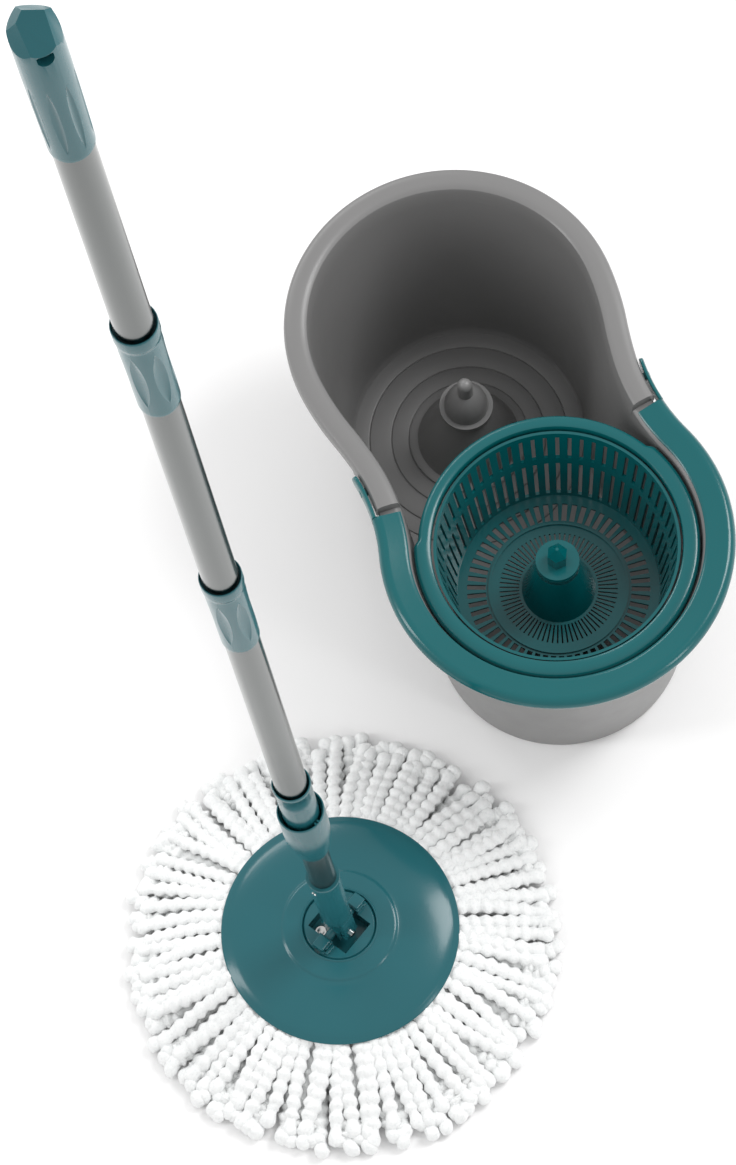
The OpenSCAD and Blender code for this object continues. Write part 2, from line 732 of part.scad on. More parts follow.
module lock_ring() {
    color(mop_teal) on_handle() difference() {
        union() {
            translate([0, 0, ring_s + 34]) cylinder(r = lock_out_r, h = lock_ring_h - 34);
            translate([0, 0, ring_s]) cylinder(r1 = lock_low_r, r2 = lock_out_r, h = 34);
            rotate(-mop_turn - 60) translate([lock_in_r - 0.3, -2, sleeve_s - 6]) cube([1.4, 4, 6]);
        }
        translate([0, 0, ring_s + 18]) cylinder(r = sleeve_r - 0.6 + slack, h = lock_ring_h);
        translate([0, 0, sleeve_s - 5]) difference() {
            cylinder(r = lock_in_r + 0.9, h = 6);
            rotate(-mop_turn - 60) translate([8, -2, -over]) cube([10, 4, 8]);
        }
        translate([0, 0, ring_s - over]) cylinder(r = inner_r + slack, h = lock_ring_h);
    }
}

// ---------- tubes, couplings and grip ----------
module plain_tube(s0, s1) {
    color(steel) on_handle() ring(tube_r, tube_in, s0, s1);
}
module lower_tube() {
    plain_tube(sleeve_s + 2, joint_a);
}
module middle_tube() {
    plain_tube(joint_a, joint_b);
}
module upper_tube() {
    plain_tube(joint_b, grip_s + 60);
}

insert_len = 34;
module insert(s) {
    color(nylon) on_handle() difference() {
        translate([0, 0, s - insert_len]) cylinder(r = tube_in, h = 2 * insert_len);
        translate([0, 0, s - insert_len - over]) cylinder(r = tube_in - 3, h = 2 * (insert_len + over));
    }
}
module lower_insert() {
    insert(joint_a);
}
module upper_insert() {
    insert(joint_b);
}

coupling_rim = 12;
module coupling(s) {
    color(mop_teal) on_handle() translate([0, 0, s]) difference() {
        union() {
            cylinder(r1 = coupling_r - 1.1, r2 = coupling_r - 0.5, h = coupling_h);
            translate([0, 0, coupling_h - coupling_rim]) cylinder(r = coupling_r, h = coupling_rim);
        }
        translate([0, 0, -over]) cylinder(r = tube_r, h = coupling_h + 2 * over);
    }
}
module lower_coupling() {
    coupling(coupling_a);
}
module upper_coupling() {
    coupling(coupling_b);
}

module tube_plug() {
    color(nylon) on_handle() translate([0, 0, grip_s + 40]) cylinder(r = tube_in, h = 20);
}

hole_r = 4.2;
hole_s = grip_s + grip_h - 25;
module grip() {
    color(mop_teal) on_handle() rotate(grip_turn) difference() {
        union() {
            translate([0, 0, grip_s]) cylinder(r = grip_r - 0.6, h = 4);
            translate([0, 0, grip_s + 4]) cylinder(r1 = grip_r - 0.6, r2 = grip_r, h = 70);
            translate([0, 0, grip_s + 74]) cylinder(r = grip_r, h = grip_h - 84);
            translate([0, 0, grip_s + grip_h - 10]) cylinder(r1 = grip_r, r2 = grip_r - 5, h = 10);
        }
        translate([0, 0, grip_s - over]) cylinder(r = tube_r, h = 60 + over);
        translate([grip_r - 3, -20, grip_s + grip_h - 18]) rotate([0, -26, 0]) cube([20, 40, 40]);
        translate([-20, 0, hole_s]) rotate([0, 90, 0]) linear_extrude(40) union() {
            circle(r = hole_r);
            translate([-hole_r, -hole_r]) square([hole_r, 2 * hole_r]);
        }
    }
}

bucket_body();
wash_post();
wash_cap();
axle_boss();
basket_axle();
thrust_washer();
axle_clip();
hub_bush();
basket();
basket_hub_cap();
guard_ring();
guard_brackets();
bail_handle();
bail_ears();
bail_pivots();
mop_strands();
strand_ring();
mop_plate();
mop_hub();
hub_screws();
trunnion_caps();
joint_cross();
hinge_pin();
knuckle_socket();
socket_rivet();
inner_tube();
clutch_sleeve();
drive_nut();
guide_bush();
spiral_rod();
rod_plug();
lower_bush();
lock_collet();
lock_sleeve();
lock_ring();
lower_tube();
lower_insert();
lower_coupling();
middle_tube();
upper_insert();
upper_coupling();
upper_tube();
tube_plug();
grip();
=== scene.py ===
"""A spin mop set: a mop with a press-to-spin handle beside its two-lobed bucket
with a wringing basket. Sizes are in millimetres until a mesh is made."""

import json
import math
import random
import bmesh
import bpy
from mathutils import Matrix, Vector, noise


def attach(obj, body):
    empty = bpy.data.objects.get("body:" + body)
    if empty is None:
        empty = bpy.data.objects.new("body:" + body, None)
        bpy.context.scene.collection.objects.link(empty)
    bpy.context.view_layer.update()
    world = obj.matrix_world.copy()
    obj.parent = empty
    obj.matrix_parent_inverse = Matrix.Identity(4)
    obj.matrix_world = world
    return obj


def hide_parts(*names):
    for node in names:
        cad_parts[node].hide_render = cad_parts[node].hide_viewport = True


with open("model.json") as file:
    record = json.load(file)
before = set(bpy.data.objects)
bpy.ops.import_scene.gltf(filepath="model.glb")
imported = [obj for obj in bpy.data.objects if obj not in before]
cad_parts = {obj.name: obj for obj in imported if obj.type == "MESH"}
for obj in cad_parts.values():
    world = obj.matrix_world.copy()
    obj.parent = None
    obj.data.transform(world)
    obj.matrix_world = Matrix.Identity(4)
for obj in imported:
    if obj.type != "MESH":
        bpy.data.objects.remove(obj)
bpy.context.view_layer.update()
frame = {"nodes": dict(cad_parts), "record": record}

MM = 0.001
PLAIN = Matrix.Identity(4)

# ---------------------------------------------------------------- camera, floor and light
CAMERA_AT = (-0.4836, -1.2921, 3.3759)
CAMERA_YAW = 0.27971
CAMERA_PITCH = 1.18937
CAMERA_ROLL = -0.13413
LENS = 157.8


def aim(obj, at, to):
    obj.location = at
    obj.rotation_mode = "QUATERNION"
    obj.rotation_quaternion = (Vector(to) - Vector(at)).to_track_quat("-Z", "Y")


def camera_turn():
    """The camera's turn: yaw from +Y towards +X, pitch below level, then roll."""
    flat = math.cos(CAMERA_PITCH)
    ahead = Vector((math.sin(CAMERA_YAW) * flat, math.cos(CAMERA_YAW) * flat, -math.sin(CAMERA_PITCH)))
    level = ahead.cross(Vector((0, 0, 1))).normalized()
    above = level.cross(ahead)
    right = level * math.cos(CAMERA_ROLL) + above * math.sin(CAMERA_ROLL)
    up = above * math.cos(CAMERA_ROLL) - level * math.sin(CAMERA_ROLL)
    return Matrix((right, up, -ahead)).transposed().to_quaternion()


def add_camera():
    data = bpy.data.cameras.new("studio_camera")
    data.sensor_width = 36.0
    data.lens = LENS
    data.clip_start = 0.05
    data.clip_end = 60.0
    camera = bpy.data.objects.new("studio_camera", data)
    bpy.context.scene.collection.objects.link(camera)
    camera.location = CAMERA_AT
    camera.rotation_mode = "QUATERNION"
    camera.rotation_quaternion = camera_turn()
    bpy.context.scene.camera = camera


def add_softbox(name, at, to, size, power):
    data = bpy.data.lights.new(name, "AREA")
    data.shape = "RECTANGLE"
    data.size = size[0]
    data.size_y = size[1]
    data.energy = power
    lamp = bpy.data.objects.new(name, data)
    bpy.context.scene.collection.objects.link(lamp)
    aim(lamp, at, to)


def add_lights():
    middle = (-0.1, 0.0, 0.1)
    add_softbox("key_box", (1.9, 0.2, 2.5), middle, (1.0, 1.4), 44)
    add_softbox("left_box", (-2.4, 0.5, 1.6), middle, (0.5, 1.7), 20)
    add_softbox("right_box", (1.6, -2.4, 1.4), middle, (0.5, 1.3), 12)
    add_softbox("back_strip", (-0.3, 2.3, 1.9), middle, (1.7, 0.4), 16)
    world = bpy.data.worlds.new("studio_world")
    world.use_nodes = True
    sky = world.node_tree.nodes["Background"]
    sky.inputs["Color"].default_value = (1.0, 1.0, 1.0, 1.0)
    sky.inputs["Strength"].default_value = 0.78
    bpy.context.scene.world = world
    bpy.context.scene.view_settings.view_transform = "Standard"


add_camera()
add_lights()


# ---------------------------------------------------------------- finishes
class Wire:
    """One socket of a finish. Sums and products of wires add Math nodes."""

    def __init__(self, finish, socket):
        self.finish = finish
        self.socket = socket

    def worked(self, operation, *values):
        return self.finish.node("Math", {"operation": operation}, dict(enumerate(values)))

    def __add__(self, other):
        return self.worked("ADD", self, other)

    def __radd__(self, other):
        return self.worked("ADD", other, self)

    def __mul__(self, other):
        return self.worked("MULTIPLY", self, other)

    def __rmul__(self, other):
        return self.worked("MULTIPLY", other, self)


class Finish:
    """A moulded, turned or spun finish, built from nodes on one shader."""

    def __init__(self, name, metallic=0.0, coat=0.0, coat_roughness=0.1, specular=0.5, sheen=0.0):
        self.material = bpy.data.materials.new(name)
        self.material.use_nodes = True
        self.tree = self.material.node_tree
        self.shader = self.tree.nodes["Principled BSDF"]
        self.shader.inputs["Metallic"].default_value = metallic
        self.shader.inputs["Coat Weight"].default_value = coat
        self.shader.inputs["Coat Roughness"].default_value = coat_roughness
        self.shader.inputs["Specular IOR Level"].default_value = specular
        self.shader.inputs["Sheen Weight"].default_value = sheen
        self.place = self.node("TexCoord", {}, {}, "Object")

    def node(self, kind, settings, values, out=0):
        made = self.tree.nodes.new("ShaderNode" + kind)
        for key, value in settings.items():
            setattr(made, key, value)
        for key, value in values.items():
            self.feed(made.inputs[key], value)
        return Wire(self, made.outputs[out])

    def feed(self, socket, value):
        if isinstance(value, Wire):
            self.tree.links.new(value.socket, socket)
        else:
            socket.default_value = value

    def speckle(self, scale, detail=3.0, roughness=0.55, stretch=(1.0, 1.0, 1.0)):
        spread = self.node("Mapping", {}, {"Vector": self.place, "Scale": stretch})
        values = {"Vector": spread, "Scale": scale, "Detail": detail, "Roughness": roughness}
        return self.node("TexNoise", {}, values)

    def between(self, share, low, high):
        """A value that goes from low to high with a share of 0 to 1, never outside."""
        values = {"Value": share, "From Min": 0.0, "From Max": 1.0, "To Min": low, "To Max": high}
        return self.node("MapRange", {"clamp": True}, values)

    def blended(self, share, first, second):
        """Two colours mixed by a share."""
        settings = {"data_type": "RGBA"}
        return self.node("Mix", settings, {0: share, 6: first, 7: second}, 2)

    def cut(self, share, low, high):
        """A share that is 0 below low, 1 above high, and smooth between."""
        values = {"Value": share, "From Min": low, "From Max": high}
        return self.node("MapRange", {"interpolation_type": "SMOOTHSTEP"}, values)

    def relief(self, height, depth, strength=1.0):
        values = {"Strength": strength, "Distance": depth, "Height": height}
        self.feed(self.shader.inputs["Normal"], self.node("Bump", {}, values))

    def colour(self, value):
        self.feed(self.shader.inputs["Base Color"], value)

    def roughness(self, value):
        self.feed(self.shader.inputs["Roughness"], value)


def shade(colour, factor):
    return tuple(min(1.0, c * factor) for c in colour[:3]) + (1.0,)


def moulded(name, colour, rough, coat, grain=0.00006, wear=0.3, specular=0.5):
    """Injection-moulded plastic: cloudy colour, fine grain, faint rubbed scratches."""
    f = Finish(name, coat=coat, coat_roughness=0.12, specular=specular)
    cloud = f.speckle(9.0, 4.0)
    mottle = f.speckle(60.0, 3.0)
    scuffs = f.cut(f.speckle(30.0, 6.0, 0.7, (1.0, 9.0, 2.0)), 0.62, 0.74)
    tone = f.blended(f.between(cloud, 0.0, 1.0), shade(colour, 0.93), shade(colour, 1.07))
    tone = f.blended(f.between(mottle, 0.0, 0.25), tone, shade(colour, 0.9))
    f.colour(f.blended(scuffs * (0.1 * wear), tone, shade(colour, 1.5)))
    f.roughness(f.between(mottle, rough - 0.04, rough + 0.04) + scuffs * (0.16 * wear))
    f.relief(f.speckle(900.0, 2.0) + 0.6 * f.speckle(120.0, 2.0) + scuffs * 0.3, grain, 0.6)
    return f.material


def drawn_steel(name, colour, rough, stretch):
    """Steel with a long fine draw along the tube, and cloudy handling marks."""
    f = Finish(name, metallic=1.0)
    streak = f.speckle(140.0, 3.0, 0.6, stretch)
    cloud = f.speckle(14.0, 4.0)
    tone = f.blended(f.between(streak, 0.0, 1.0), shade(colour, 0.94), shade(colour, 1.06))
    f.colour(f.blended(f.between(cloud, 0.0, 0.3), tone, shade(colour, 0.88)))
    f.roughness(f.between(streak, rough - 0.05, rough + 0.05) + f.between(cloud, 0.0, 0.06))
    f.relief(streak, 0.00001, 0.35)
    return f.material


def chenille(name):
    """White microfibre pile: soft, cloudy, with tiny curled fibres."""
    f = Finish(name, sheen=0.5)
    f.shader.inputs["Sheen Roughness"].default_value = 0.6
    curls = f.speckle(520.0, 4.0, 0.7)
    tufts = f.speckle(170.0, 3.0, 0.6)
    tone = f.blended(f.between(tufts, 0.0, 1.0), (0.80, 0.82, 0.82, 1.0), (0.93, 0.93, 0.925, 1.0))
    f.colour(f.blended(f.cut(curls, 0.3, 0.5), shade((0.80, 0.82, 0.82), 0.95), tone))
    f.roughness(f.between(curls, 0.85, 1.0))
    f.relief(curls + 0.8 * tufts, 0.0009, 0.8)
    return f.material


def pale_floor(name):
    f = Finish(name)
    tone = f.speckle(3.0, 2.0)
    f.colour(f.blended(tone, (0.90, 0.897, 0.897, 1.0), (0.93, 0.927, 0.927, 1.0)))
    f.roughness(f.between(tone, 0.75, 0.85))
    return f.material


STEEL_DRAW = (1.0, 1.0, 0.03)
FINISHES = {
    "bucket_grey": moulded("satin_grey_plastic", (0.178, 0.176, 0.175), 0.38, 0.1, 0.00007),
    "post_grey": moulded("light_grey_plastic", (0.215, 0.213, 0.212), 0.36, 0.12),
    "basket_teal": moulded("deep_teal_plastic", (0.0, 0.096, 0.105), 0.22, 0.32, specular=0.28),
    "mop_teal": moulded("soft_teal_plastic", (0.013, 0.106, 0.125), 0.2, 0.22, specular=0.28),
    "steel_tube": drawn_steel("drawn_steel", (0.175, 0.183, 0.18), 0.16, STEEL_DRAW),
    "steel_pin": drawn_steel("turned_steel", (0.68, 0.68, 0.67), 0.2, (1.0, 1.0, 1.0)),
    "nylon": moulded("white_nylon", (0.72, 0.72, 0.68), 0.45, 0.0),
    "fibre": chenille("white_chenille"),
    "brass": drawn_steel("brass", (0.72, 0.5, 0.2), 0.3, (1.0, 1.0, 1.0)),
}
for part in frame["record"]["subparts"]:
    cad_slots = frame["nodes"][part["node"]].data.materials
    cad_slots.clear()
    cad_slots.append(FINISHES[part["material_slot"]])
frame["nodes"]["trunnion_caps"].data.materials[0] = FINISHES["mop_teal"]


# ---------------------------------------------------------------- making meshes
def settle(name, bm, slot, body, replaced=(), place=PLAIN, crisp=32.0):
    """Turns a bmesh in millimetres into a piece that rides on a body."""
    bmesh.ops.remove_doubles(bm, verts=bm.verts, dist=0.0005)
    bmesh.ops.recalc_face_normals(bm, faces=bm.faces)
    mesh = bpy.data.meshes.new(name)
    bm.transform(Matrix.Scale(MM, 4) @ place)
    bm.to_mesh(mesh)
    bm.free()
    mesh.shade_smooth()
    mesh.set_sharp_from_angle(angle=math.radians(crisp))
    mesh.materials.append(FINISHES[slot])
    piece = bpy.data.objects.new(name, mesh)
    bpy.context.scene.collection.objects.link(piece)
    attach(piece, body)
    if replaced:
        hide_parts(*replaced)
    return piece


def add_grid(bm, rows, round_rows=True, round_columns=False):
    """Quads between rows of points; a row of one point closes to a pole."""
    made = [[bm.verts.new(point) for point in row] for row in rows]
    last = len(made) if round_columns else len(made) - 1
    for i in range(last):
        low, high = made[i], made[(i + 1) % len(made)]
        wide = max(len(low), len(high))
        steps = wide if round_rows else wide - 1
        for j in range(steps):
            k = (j + 1) % wide
            corners = [low[j % len(low)], low[k % len(low)], high[k % len(high)], high[j % len(high)]]
            corners = list(dict.fromkeys(corners))
            if len(corners) > 2:
                bm.faces.new(corners)
    return made


def turned_rows(profile, around=96):
    """Rows of points round the upright axis for a profile of (radius, height)."""
    rows = []
    for r, z in profile:
        if r <= 0.0:
            rows.append([(0.0, 0.0, z)])
        else:
            angles = [math.tau * i / around for i in range(around)]
            rows.append([(r * math.cos(a), r * math.sin(a), z) for a in angles])
    return rows


def turned(name, profile, slot, body, replaced=(), place=PLAIN, around=96, looped=False, crisp=32.0):
    bm = bmesh.new()
    add_grid(bm, turned_rows(profile, around), round_columns=looped)
    return settle(name, bm, slot, body, replaced, place, crisp)


def eased(a, b, share):
    share = min(1.0, max(0.0, share))
    return a + (b - a) * share * share * (3.0 - 2.0 * share)


# ---------------------------------------------------------------- the two-lobed outline
LOBE_Y = 81.0
LOBE_LEAN = 15.5
LEAN_FROM = 20.0
LIP_R = 116.5
LIP_IN_R = 99.5
LIP_Z = 177.0
FLOOR_R = 84.0
WALL = 2.5
WAIST_REACH = 253.0
WAIST_X = math.sqrt(WAIST_REACH ** 2 - LOBE_Y ** 2)
WAIST_ANGLE = math.asin(LOBE_Y / WAIST_REACH)
LIP_END = 12.0


def wall_r(z):
    return FLOOR_R + (LIP_IN_R - FLOOR_R) * z / LIP_Z


def waist_turn(y, radius=LIP_R):
    return math.asin(y / (WAIST_REACH - radius))


def stations(cx, cy, on_lobe, start, end, count):
    """Stations from start to end, without the last one."""
    return [(cx, cy, on_lobe, start + (end - start) * i / count) for i in range(count)]


def outline_point(station, radius, z):
    cx, cy, on_lobe, angle = station
    reach = radius if on_lobe else WAIST_REACH - radius
    lip_reach = LIP_R if on_lobe else WAIST_REACH - LIP_R
    lip_y = cy + lip_reach * math.sin(angle)
    lean = eased(0.0, LOBE_LEAN, (lip_y - LEAN_FROM) / (LOBE_Y - LEAN_FROM)) * z / LIP_Z
    return (cx + reach * math.cos(angle), cy + reach * math.sin(angle) + lean, z)


LIP_TURN = waist_turn(LIP_END)
STEP_TURN = math.radians(0.1)


def bucket_route():
    half = math.pi
    back = stations(0, LOBE_Y, True, -WAIST_ANGLE, half + WAIST_ANGLE, 132)
    left_back = stations(-WAIST_X, 0, False, WAIST_ANGLE, STEP_TURN - LIP_TURN, 22)
    left_front = stations(-WAIST_X, 0, False, -LIP_TURN - STEP_TURN, -WAIST_ANGLE, 14)
    front = stations(0, -LOBE_Y, True, half - WAIST_ANGLE, math.tau + WAIST_ANGLE, 132)
    right_front = stations(WAIST_X, 0, False, half + WAIST_ANGLE, half + LIP_TURN + STEP_TURN, 14)
    right_step = (WAIST_X, 0, False, half + LIP_TURN + STEP_TURN)
    left_step = (-WAIST_X, 0, False, STEP_TURN - LIP_TURN)
    right_back = stations(WAIST_X, 0, False, half + LIP_TURN - STEP_TURN, half - WAIST_ANGLE, 22)
    high = [(s, True) for s in back + left_back + [left_step]]
    low = [(s, False) for s in left_front + front + right_front + [right_step]]
    return high + low + [(s, True) for s in right_back]


def beside(base_r, base_z, steps):
    """A profile from steps of (radius, height) beside a base point."""
    return [(base_r + r, base_z + z) for r, z in steps]


BUCKET_FOOT = beside(FLOOR_R, 0.0, [(-2.0, 0.0), (0.9, 0.5), (2.2, 1.9), (2.8, 5.0)])
BUCKET_INSIDE = [(wall_r(z), z) for z in (160.0, 125.0, 90.0, 50.0, 14.0)]
BUCKET_CORNER = beside(FLOOR_R, 0.0, [(0.7, 8.6), (-0.4, 5.2), (-2.2, 3.5), (-4.5, 3.0)])
HIGH_LIP = [(wall_r(170) + WALL, 170.0), (wall_r(172) + WALL + 1.0, 172.6)]
HIGH_LIP += beside(LIP_R, LIP_Z, [
    (-4.0, -3.7), (-2.6, -4.6), (-2.4, -11.0), (-2.0, -11.8), (-1.2, -12.0), (-0.4, -11.7),
    (0.0, -10.8), (0.0, -5.0), (-0.3, -3.0), (-1.4, -1.3), (-3.4, -0.3), (-6.6, 0.0),
    (-11.4, -0.2), (-14.2, -0.9), (-16.0, -2.2), (-17.0, -4.6)])
LOW_LIP = [(wall_r(162) + WALL, 162.0), (wall_r(164) + WALL + 1.0, 165.3)]
LOW_LIP += beside(LIP_R, LIP_Z, [
    (-5.5, -10.6), (-4.1, -10.8), (-3.9, -11.2), (-3.5, -11.8), (-2.7, -12.0), (-1.9, -11.7),
    (-1.5, -11.0), (-1.5, -9.4), (-1.7, -8.4), (-2.4, -7.8), (-3.6, -7.6), (-6.6, -7.6),
    (-11.4, -7.6), (-14.0, -7.8), (-15.6, -8.6), (-17.2, -10.4)])


def bucket_body():
    bm = bmesh.new()
    rows = []
    for station, high in bucket_route():
        lip = HIGH_LIP if high else LOW_LIP
        profile = BUCKET_FOOT + lip + BUCKET_INSIDE + BUCKET_CORNER
        rows.append([outline_point(station, r, z) for r, z in profile])
    made = add_grid(bm, rows, round_rows=False, round_columns=True)
    bm.faces.new([row[0] for row in made])
    bm.faces.new([row[-1] for row in made])
    settle("bucket_shell", bm, "bucket_grey", "root", ["bucket_body"], crisp=28.0)


def floor_rings():
    """Low terraces in the wash lobe's floor, with soft grooves between them."""
    profile = [(83.2, 2.9)]
    for outer, inner, z in ((82.6, 71.6, 3.9), (70.6, 55.8, 4.2), (54.8, 43.2, 4.5)):
        profile += [(outer + 0.4, z - 0.5), (outer, z - 0.1), (outer - 0.6, z)]
        profile += [(inner + 0.6, z), (inner + 0.1, z - 0.15), (inner - 0.3, z - 0.6)]
    profile += [(42.6, 3.9)]
    place = Matrix.Translation((0, LOBE_Y, 0))
    turned("floor_rings", profile, "bucket_grey", "root", place=place, around=128)


# ---------------------------------------------------------------- carrying handle
BAIL_R = 121.0
BAIL_IN_R = 100.5
BAIL_TOP = 175.5
EAR_LOW = 161.5
FLANGE_START = 16.0
EAR_BACK = 18.0
EAR_IN_R = 117.7
BAND = beside(BAIL_R, BAIL_TOP, [
    (-0.5, -8.4), (-0.1, -6.8), (0.0, -5.4), (-0.4, -3.9), (-1.3, -2.3), (-2.8, -0.8), (-5.0, 0.0),
    (-7.4, -0.3), (-9.6, -0.9)])
BAND += beside(BAIL_IN_R, BAIL_TOP, [
    (2.4, -1.9), (0.7, -2.3), (0.0, -3.0), (0.1, -4.5), (0.8, -4.9), (5.0, -4.0)])
BAND += beside(BAIL_R, BAIL_TOP, [
    (-6.4, -2.6), (-4.6, -4.0), (-3.1, -5.6), (-2.6, -7.2), (-3.0, -8.5), (-2.4, -9.0), (-1.1, -9.0)])
EAR_STRIP = beside(BAIL_R, BAIL_TOP, [
    (-0.3, -12.6), (-0.1, -8.6), (-0.1, -6.0), (-0.2, -4.0), (-0.5, -2.0), (-1.0, -0.5), (-1.6, 0.1),
    (-2.4, 0.1), (-3.0, -0.2)])
EAR_STRIP += beside(EAR_IN_R, BAIL_TOP, [
    (0.2, -0.9), (0.0, -1.5), (0.0, -2.3), (0.0, -3.3), (0.0, -4.3), (0.0, -5.3), (0.0, -6.3),
    (0.0, -7.4), (0.0, -9.0), (0.0, -11.0), (0.2, -13.4), (0.6, -14.0), (2.6, -14.0)])


def ear_inset(distance, corner=4.5):
    """How far the corners of an ear's end are rounded back at a distance from it."""
    if distance >= corner:
        return 0.0
    return corner - math.sqrt(max(0.0, corner ** 2 - (corner - distance) ** 2))


def bail_route():
    """Stations with the share of flange and the inset at the ears' ends."""
    ear = []
    for y in (-18.0, -17.8, -17.2, -16.2, -15.0, -13.4, -10.0, -4.0, 2.0, 8.0, 15.5):
        ear.append((waist_turn(y, BAIL_R), 0.0, ear_inset(EAR_BACK + y)))
    flange = waist_turn(FLANGE_START, BAIL_R)
    ear.append((flange - 0.001, 0.0, 0.0))
    ear.append((flange + 0.001, 1.0, 0.0))
    route = [((WAIST_X, 0, False, math.pi + a), share, inset) for a, share, inset in ear]
    for s in stations(WAIST_X, 0, False, math.pi + flange + 0.01, math.pi + WAIST_ANGLE, 14):
        route.append((s, 1.0, 0.0))
    for s in stations(0, -LOBE_Y, True, WAIST_ANGLE, -math.pi - WAIST_ANGLE, 132):
        route.append((s, 1.0, 0.0))
    for s in stations(-WAIST_X, 0, False, -WAIST_ANGLE, -flange - 0.01, 14):
        route.append((s, 1.0, 0.0))
    for a, share, inset in reversed(ear):
        route.append(((-WAIST_X, 0, False, -a), share, inset))
    return route


def bail_handle():
    bm = bmesh.new()
    rows = []
    middle = (BAIL_TOP + EAR_LOW) / 2
    half = (BAIL_TOP - EAR_LOW) / 2
    for station, share, inset in bail_route():
        row = []
        for (band_r, band_z), (ear_r, ear_z) in zip(BAND, EAR_STRIP):
            r = band_r * share + ear_r * (1 - share)
            z = band_z * share + ear_z * (1 - share)
            z = middle + (z - middle) * (half - inset * (1 - share)) / half
            row.append(outline_point(station, r, z))
        rows.append(row)
    made = add_grid(bm, rows)
    bm.faces.new(made[0])
    bm.faces.new(made[-1])
    settle("carrying_handle", bm, "basket_teal", "bail", ["bail_handle", "bail_ears"], crisp=38.0)


PIVOT_Y = 6.0
PIVOT_Z = 168.0
PIVOT_PROUD = 0.25


def bail_pins():
    """Flush pins that hang the carrying handle's ears on the bucket."""
    outside = WAIST_X - math.sqrt((WAIST_REACH - BAIL_R) ** 2 - PIVOT_Y ** 2) + PIVOT_PROUD
    inside = LIP_R + WAIST_X - WAIST_REACH - 6.0
    profile = [(0.0, inside), (3.0, inside), (3.0, outside - 0.5), (2.5, outside), (0.0, outside)]
    for name, side in (("left_bail_pin", -1), ("right_bail_pin", 1)):
        place = Matrix.Translation((0, PIVOT_Y, PIVOT_Z)) @ Matrix.Rotation(side * math.pi / 2, 4, "Y")
        replaced = ["bail_pivots"] if side > 0 else []
        turned(name, profile, "basket_teal", "root", replaced, place, 32)


# ---------------------------------------------------------------- guard ring
GUARD_TOP = 167.0
GUARD_IN_R = 85.5
GUARD_BACK_R = 94.5
GUARD_FRONT_R = 97.4
GUARD_H = 9.0
GUARD_KINK_ANGLE = math.degrees(math.asin(40.0 / 97.4))


def guard_outer(degrees):
    """Outer radius of the guard ring: wide at the front, narrow behind the kinks."""
    fold = abs((degrees - 90.0 + 180.0) % 360.0 - 180.0)
    return eased(GUARD_BACK_R, GUARD_FRONT_R, (fold - (90.0 - GUARD_KINK_ANGLE) + 1.5) / 3.0)


def guard_ring():
    bm = bmesh.new()
    rows = []
    low = GUARD_TOP - GUARD_H
    for i in range(240):
        degrees = 360.0 * i / 240
        a = math.radians(degrees)
        r = guard_outer(degrees)
        profile = [
            (GUARD_IN_R, low), (GUARD_IN_R, GUARD_TOP - 2.0), (GUARD_IN_R + 0.5, GUARD_TOP - 0.7),
            (GUARD_IN_R + 1.8, GUARD_TOP), (r - 3.2, GUARD_TOP), (r - 1.5, GUARD_TOP - 0.5),
            (r - 0.4, GUARD_TOP - 1.7), (r, GUARD_TOP - 3.4), (r, low + 2), (r - 2, low + 2),
            (r - 2, GUARD_TOP - 3.5), (GUARD_IN_R + 2, GUARD_TOP - 2.5), (GUARD_IN_R + 2, low)]
        rows.append([(q * math.cos(a), q * math.sin(a) - LOBE_Y, z) for q, z in profile])
    add_grid(bm, rows, round_columns=True)
    settle("guard_ring_moulding", bm, "basket_teal", "root", ["guard_ring"], crisp=40.0)


# ---------------------------------------------------------------- mop head
MOP_AT = (-232.0, -232.2)
MOP_TURN = math.radians(28.0)
JOINT_Z = 48.0
LEAN_A = math.radians(-2.2)
LEAN_B = math.radians(-1.8)
ON_MOP = Matrix.Translation((MOP_AT[0], MOP_AT[1], 0.0)) @ Matrix.Rotation(MOP_TURN, 4, "Z")
ON_CROSS = ON_MOP @ Matrix.Translation((0, 0, JOINT_Z)) @ Matrix.Rotation(LEAN_A, 4, "X")
ON_HANDLE = ON_CROSS @ Matrix.Rotation(LEAN_B, 4, "Y")


def up_handle(station):
    return ON_HANDLE @ Matrix.Translation((0, 0, station))


def mop_plate():
    profile = [
        (25.1, 32.5), (25.1, 46.0), (25.3, 47.0), (25.8, 47.5), (26.4, 47.4), (27.0, 46.6),
        (37.4, 45.8), (38.6, 45.6), (39.4, 45.1), (39.9, 44.6), (40.8, 44.3), (44.0, 44.1),
        (52.0, 43.4), (60.0, 42.2), (68.0, 40.6), (74.0, 39.0), (77.6, 37.8), (78.4, 37.3),
        (79.2, 36.8), (81.2, 35.8), (81.8, 35.3), (82.0, 34.9), (81.7, 34.5), (79.0, 34.5),
        (73.0, 37.0), (58.0, 40.0), (40.0, 41.8), (28.4, 43.2), (27.6, 42.4), (27.6, 32.5)]
    turned("mop_plate_moulding", profile, "mop_teal", "mop_head", ["mop_plate"], ON_MOP, 160, True)


def smooth_block(bm, size, place, edge):
    """A block with rounded edges."""
    made = bmesh.ops.create_cube(bm, size=1.0, matrix=place @ Matrix.Diagonal((*size, 1.0)))
    edges = list({e for v in made["verts"] for e in v.link_edges})
    bmesh.ops.bevel(bm, geom=edges, offset=edge, segments=3, profile=0.7, affect="EDGES")


